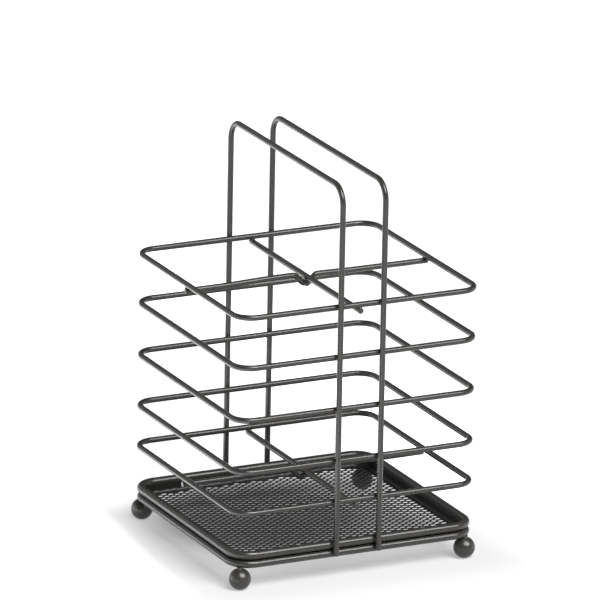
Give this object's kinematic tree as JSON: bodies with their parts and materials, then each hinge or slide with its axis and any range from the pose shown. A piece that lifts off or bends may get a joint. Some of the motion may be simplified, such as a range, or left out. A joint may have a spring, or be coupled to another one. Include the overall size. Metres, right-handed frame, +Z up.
{
  "type": "utensil holder",
  "caption": "Free-standing welded wire utensil holder with divided compartments, arch handles, a mesh tray and ball feet, in a dark powder coat.",
  "frame": {"origin": "centre of the footprint, on the surface that the feet stand on", "axes": "+Z up, +X to the right and -Y towards the front, where one pair of handle legs runs down"},
  "size_m": [0.1192, 0.117, 0.1807],
  "materials": {
    "wire_coat": "satin charcoal powder coat",
    "tray_coat": "satin charcoal powder coat",
    "mesh_coat": "satin charcoal powder coat on expanded metal",
    "foot_coat": "satin charcoal powder coat"
  },
  "bodies": {
    "root": {"top_ring": "wire_coat", "upper_ring": "wire_coat", "middle_ring": "wire_coat", "lower_ring": "wire_coat", "bottom_ring": "wire_coat", "left_arch_handle": "wire_coat", "right_arch_handle": "wire_coat", "top_lengthwise_divider": "wire_coat", "top_cross_divider": "wire_coat", "bottom_lengthwise_divider": "wire_coat", "bottom_cross_divider": "wire_coat", "tray_rim": "tray_coat", "tray_mesh": "mesh_coat", "base_wire": "tray_coat", "foot_front_left": "foot_coat", "foot_front_right": "foot_coat", "foot_back_left": "foot_coat", "foot_back_right": "foot_coat"}
  },
  "joints": []
}
